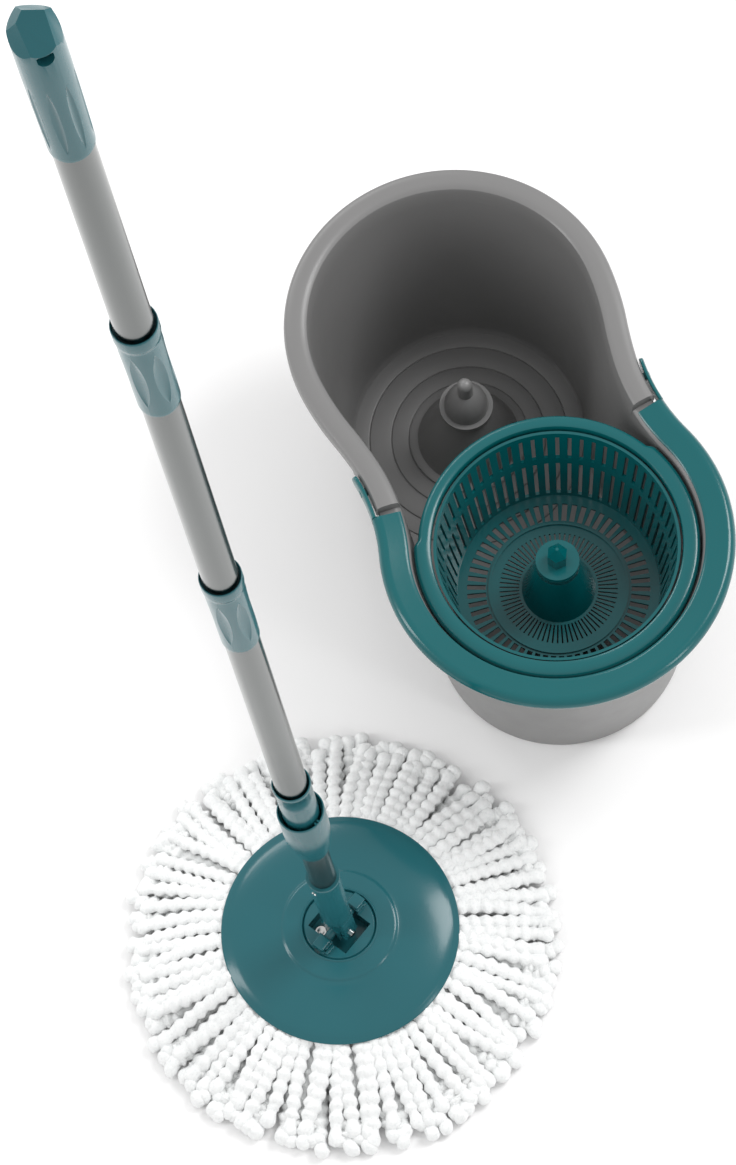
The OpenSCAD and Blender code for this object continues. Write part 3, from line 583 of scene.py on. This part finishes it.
def trunnion_blocks():
    """Bearing caps over the trunnions, a rib beside each, and a screw head in the pit."""
    bm = bmesh.new()
    for side in (-1, 1):
        smooth_block(bm, (9.4, 8.6, 4.6), Matrix.Translation((side * 18.8, 0, 51.6)), 1.2)
        smooth_block(bm, (8.0, 2.4, 3.4), Matrix.Translation((side * 18.4, side * 6.6, 47.6)), 0.8)
        smooth_block(bm, (4.0, 11.0, 2.6), Matrix.Translation((side * 21.2, 0, 47.2)), 0.9)
    settle("trunnion_bearing_caps", bm, "mop_teal", "mop_head", place=ON_MOP, crisp=40.0)
    head = [(0.0, 34.6), (2.0, 34.6), (2.6, 34.9), (3.9, 34.9), (4.3, 34.5), (4.3, 33.4), (0.0, 33.4)]
    place = ON_MOP @ Matrix.Translation((-9.0, 9.6, 0.0))
    turned("pit_screw", head, "steel_pin", "mop_head", place=place, around=24)


# ---------------------------------------------------------------- strands
BEAD_PITCH = 8.3
BEAD_R = 5.6
NECK_R = 3.8


def strand_height(layer, reach):
    """Height of a yarn's middle at a distance from the mop's centre."""
    top = eased(30.0, 5.0, (reach - 70.0) / 92.0)
    return max(4.6, top - 8.6 * layer)


def add_yarn(bm, rng, angle, layer, start, end):
    """One beaded yarn from under the plate out to its loose tip."""
    length = end - start
    count = int(length / 1.4)
    clump = noise.noise((math.cos(angle) * 2.4, math.sin(angle) * 2.4, layer))
    lean = rng.uniform(-0.05, 0.05) + 0.09 * clump
    sway = rng.uniform(-2.0, 2.0)
    lift = rng.uniform(-1.2, 1.6)
    phase = rng.uniform(0.0, 1.0)
    pitch = BEAD_PITCH * rng.uniform(0.93, 1.08)
    fat = rng.uniform(0.93, 1.1)
    around = 9
    rows = []
    for i in range(count + 1):
        share = i / count
        reach = start + length * share
        turn = angle + lean * share * share
        side = sway * math.sin(share * math.pi * 1.5)
        z = strand_height(layer, reach) + lift * math.sin(share * math.pi)
        beads = 0.5 - 0.5 * math.cos(math.tau * (reach / pitch + phase))
        radius = fat * (NECK_R + (BEAD_R - NECK_R) * beads ** 0.7)
        left = length - length * share
        if left < 13.0:
            radius = fat * (3.7 + 1.7 * math.sin(math.pi * (13.0 - left) / 15.0) ** 2)
        if left < 3.0:
            radius *= math.sqrt(max(0.0, 1.0 - (1.0 - left / 3.0) ** 2))
        z = max(z, 1.18 * radius + 0.1)
        cx = reach * math.cos(turn) - side * math.sin(turn)
        cy = reach * math.sin(turn) + side * math.cos(turn)
        row = []
        for j in range(around):
            a = math.tau * j / around
            out = radius * (1.0 + 0.16 * noise.noise((cx * 0.31 + 7 * j, cy * 0.31, z * 0.31 + layer)))
            row.append((cx - out * math.cos(a) * math.sin(turn),
                        cy + out * math.cos(a) * math.cos(turn),
                        z + out * math.sin(a)))
        rows.append(row if radius > 0.05 else [(cx, cy, z)])
    made = add_grid(bm, rows)
    bm.faces.new(made[0])


def mop_strands():
    rng = random.Random(41)
    for layer, count, low, high in ((0, 78, 140, 151), (1, 74, 144, 154), (2, 68, 147, 156)):
        bm = bmesh.new()
        for i in range(count):
            angle = math.tau * (i + 0.5 * layer + rng.uniform(-0.28, 0.28)) / count
            add_yarn(bm, rng, angle, layer, 66.0, rng.uniform(low, high))
        replaced = ["mop_strands"] if layer == 0 else []
        settle(f"strand_layer_{layer + 1}", bm, "fibre", "mop_head", replaced, ON_MOP, 180.0)


# ---------------------------------------------------------------- handle mouldings
def fluted_rows(profile, flutes, low, high, half_width, depth, turn=0.0, sharpness=0.8):
    """Rows round a grip with long lens-shaped hollows between low and high."""
    inside = [-1.0, -0.8, -0.55, -0.3, 0.0, 0.3, 0.55, 0.8, 1.0]
    outside = [0.2, 0.4, 0.6, 0.8]
    sector = math.tau / flutes
    rows = []
    for r, z in profile:
        if r <= 0.0:
            rows.append([(0.0, 0.0, z)])
            continue
        share = abs(2 * (z - low) / (high - low) - 1.0)
        lens = max(0.0, 1.0 - share * share) ** sharpness
        on_body = low < z < high and r > 11.0
        half = half_width * max(lens if on_body else 0.0, 0.02)
        row = []
        for i in range(flutes):
            middle = turn + i * sector
            for t in inside:
                dent = depth * lens ** 0.7 * (1.0 - t * t) if on_body else 0.0
                a = middle + t * half
                row.append(((r - dent) * math.cos(a), (r - dent) * math.sin(a), z))
            for t in outside:
                a = middle + half + t * (sector - 2 * half)
                row.append((r * math.cos(a), r * math.sin(a), z))
        rows.append(row)
    return rows


def body_rows(start, end, r_start, r_end, steps):
    return [(r_start + (r_end - r_start) * i / steps, start + (end - start) * i / steps)
            for i in range(steps + 1)]


COUPLINGS = {"lower_coupling": 553.0, "upper_coupling": 899.0}


def coupling(name, station):
    profile = [(10.75, 1.5), (10.9, 0.5), (11.3, 0.1), (11.6, 0.5), (11.72, 1.4)]
    profile += body_rows(3.0, 79.0, 11.75, 12.2, 50)
    profile += [(12.25, 81.2), (12.5, 82.0), (12.72, 82.8), (12.8, 84.0), (12.8, 92.4)]
    profile += [(12.7, 93.4), (12.4, 93.9), (12.0, 93.6), (11.85, 92.6), (11.8, 89.5), (10.75, 89.3)]
    bm = bmesh.new()
    rows = fluted_rows(profile, 6, 13.0, 73.0, math.radians(19.0), 1.15, math.radians(20.0))
    add_grid(bm, rows)
    settle(name + "_moulding", bm, "mop_teal", "handle", [name], up_handle(station), 26.0)


GRIP_S = 1198.0
GRIP_H = 127.0
GRIP_HOLE = 102.0
GRIP_TURN = math.radians(-118.0)


def d_hole_cutter(turn):
    """A prism with a rounded D outline, lying across the grip."""
    outline = []
    r = 4.2
    for i in range(19):
        a = math.pi + math.pi * i / 18
        outline.append((r * math.cos(a), r * math.sin(a)))
    for cx, start in ((r - 1.6, 0.0), (1.6 - r, math.pi / 2)):
        for i in range(7):
            a = start + math.pi / 2 * i / 6
            outline.append((cx + 1.6 * math.cos(a), r + 0.4 - 1.6 + 1.6 * math.sin(a)))
    bm = bmesh.new()
    rows = []
    for x in (-20.0, 20.0):
        rows.append([(x, y, z + GRIP_HOLE) for y, z in outline])
    made = add_grid(bm, rows)
    bm.faces.new(made[0])
    bm.faces.new(made[-1])
    bmesh.ops.recalc_face_normals(bm, faces=bm.faces)
    bm.transform(Matrix.Rotation(turn, 4, "Z"))
    mesh = bpy.data.meshes.new("grip_cutter")
    bm.to_mesh(mesh)
    bm.free()
    return mesh


def shaped_by(obj, kind, **settings):
    """Adds a modifier and keeps its result as the piece's own mesh."""
    modifier = obj.modifiers.new(kind.lower(), kind)
    for key, value in settings.items():
        setattr(modifier, key, value)
    depsgraph = bpy.context.evaluated_depsgraph_get()
    mesh = bpy.data.meshes.new_from_object(obj.evaluated_get(depsgraph))
    obj.modifiers.clear()
    obj.data = mesh


def sliced(bm, point, normal):
    """Cuts a flat facet: everything past the plane goes, and the cut is closed."""
    geometry = bm.verts[:] + bm.edges[:] + bm.faces[:]
    cut = bmesh.ops.bisect_plane(bm, geom=geometry, plane_co=point, plane_no=normal, clear_outer=True)
    edges = [e for e in cut["geom_cut"] if isinstance(e, bmesh.types.BMEdge)]
    bmesh.ops.contextual_create(bm, geom=edges)


def grip():
    profile = [(0.0, 60.0), (10.75, 60.0), (10.75, 1.2), (10.9, 0.4), (11.3, 0.0), (11.7, 0.5)]
    profile += body_rows(2.0, 76.0, 11.8, 12.4, 52)
    profile += [(12.4, 84.0), (12.4, 100.0)]
    profile += beside(0.0, GRIP_H, [
        (12.3, -12.0), (11.9, -8.5), (11.1, -5.4), (9.7, -2.8), (7.6, -1.0), (4.6, -0.1), (0.0, 0.0)])
    bm = bmesh.new()
    rows = fluted_rows(profile, 8, 9.0, 72.0, math.radians(10.0), 0.8, GRIP_TURN + 0.39, 0.7)
    add_grid(bm, rows)
    bmesh.ops.recalc_face_normals(bm, faces=bm.faces)
    facets = ((0.0, 52.0, 9.4, 109.0), (62.0, 26.0, 11.2, 107.0), (-62.0, 30.0, 11.0, 107.0),
              (150.0, 40.0, 9.6, 115.0), (-120.0, 40.0, 9.6, 115.0))
    for degrees, lift, reach, z in facets:
        a = GRIP_TURN + math.radians(degrees)
        e = math.radians(lift)
        normal = Vector((math.cos(a) * math.cos(e), math.sin(a) * math.cos(e), math.sin(e)))
        point = Vector((math.cos(a) * reach, math.sin(a) * reach, z))
        sliced(bm, point, normal)
    body = settle("grip_moulding", bm, "mop_teal", "handle", ["grip"], up_handle(GRIP_S), 26.0)
    cutter = bpy.data.objects.new("grip_cutter", d_hole_cutter(GRIP_TURN))
    cutter.data.transform(Matrix.Scale(MM, 4) @ up_handle(GRIP_S))
    bpy.context.scene.collection.objects.link(cutter)
    shaped_by(body, "BOOLEAN", object=cutter, operation="DIFFERENCE", solver="EXACT")
    bpy.data.objects.remove(cutter)
    shaped_by(body, "BEVEL", width=0.35 * MM, segments=2, limit_method="ANGLE",
              angle_limit=math.radians(28.0), harden_normals=False)
    body.data.shade_smooth()
    body.data.set_sharp_from_angle(angle=math.radians(30.0))


LOCK_S = 166.0


def lock_parts():
    """The twist lock: a sleeve on the handle, and the clamping ring with two small blocks on its rim."""
    sleeve = [(10.75, 48.0), (11.9, 48.0), (12.0, 51.0), (12.05, 60.0), (12.1, 98.0), (12.1, 120.6),
              (12.35, 121.2), (12.62, 122.0), (12.7, 123.0), (12.7, 124.8), (12.5, 125.6), (12.0, 125.95),
              (11.6, 125.6), (11.45, 124.6), (11.4, 120.0), (10.75, 119.8)]
    turned("lock_sleeve_moulding", sleeve, "mop_teal", "handle", ["lock_sleeve"], up_handle(LOCK_S))
    ring = [(9.7, 2.0), (9.8, 0.8), (10.2, 0.1), (10.7, 0.3), (11.05, 1.6), (12.0, 7.5), (13.2, 15.5),
            (14.5, 24.5), (15.2, 31.0), (15.5, 38.0), (15.6, 46.0), (15.6, 71.6), (15.45, 72.8),
            (14.95, 73.5), (14.5, 73.3), (14.3, 72.4), (14.2, 69.0), (13.4, 68.4), (12.7, 67.0),
            (12.6, 20.0), (9.7, 18.0)]
    bm = bmesh.new()
    add_grid(bm, turned_rows(ring), round_columns=True)
    for degrees in (-96.0, -86.0):
        a = math.radians(degrees)
        place = Matrix.Translation((14.3 * math.cos(a), 14.3 * math.sin(a), 71.9))
        place = place @ Matrix.Rotation(a, 4, "Z") @ Matrix.Diagonal((2.3, 1.3, 3.4, 1.0))
        bmesh.ops.create_cube(bm, size=1.0, matrix=place)
    settle("lock_ring_moulding", bm, "mop_teal", "lock", ["lock_ring"], up_handle(LOCK_S))


def soften(name, width, segments=2, angle=35.0):
    """Rounds the edges of a CAD solid with modifiers, its mesh left as it is."""
    obj = frame["nodes"][name]
    weld = obj.modifiers.new("weld", "WELD")
    weld.merge_threshold = 0.00001
    bevel = obj.modifiers.new("edges", "BEVEL")
    bevel.width = width * MM
    bevel.segments = segments
    bevel.limit_method = "ANGLE"
    bevel.angle_limit = math.radians(angle)
    bevel.harden_normals = True


bucket_body()
floor_rings()
bail_handle()
bail_pins()
guard_ring()
mop_plate()
trunnion_blocks()
mop_strands()
for coupling_name, coupling_station in COUPLINGS.items():
    coupling(coupling_name, coupling_station)
grip()
lock_parts()
for softened, edge in (("mop_hub", 0.4), ("knuckle_socket", 0.5), ("joint_cross", 0.5), ("wash_post", 1.0),
                       ("basket_hub_cap", 0.5), ("guard_brackets", 0.6), ("axle_boss", 0.6)):
    soften(softened, edge)

# ---------------------------------------------------------------- floor
floor_mesh = bpy.data.meshes.new("studio_floor")
FLOOR_REACH = 30.0
floor_corners = ((-1, -1), (1, -1), (1, 1), (-1, 1))
floor_points = [(x * FLOOR_REACH, y * FLOOR_REACH, 0.0) for x, y in floor_corners]
floor_mesh.from_pydata(floor_points, [], [(0, 1, 2, 3)])
floor_mesh.materials.append(pale_floor("studio_floor"))
floor = bpy.data.objects.new("studio_floor", floor_mesh)
bpy.context.scene.collection.objects.link(floor)
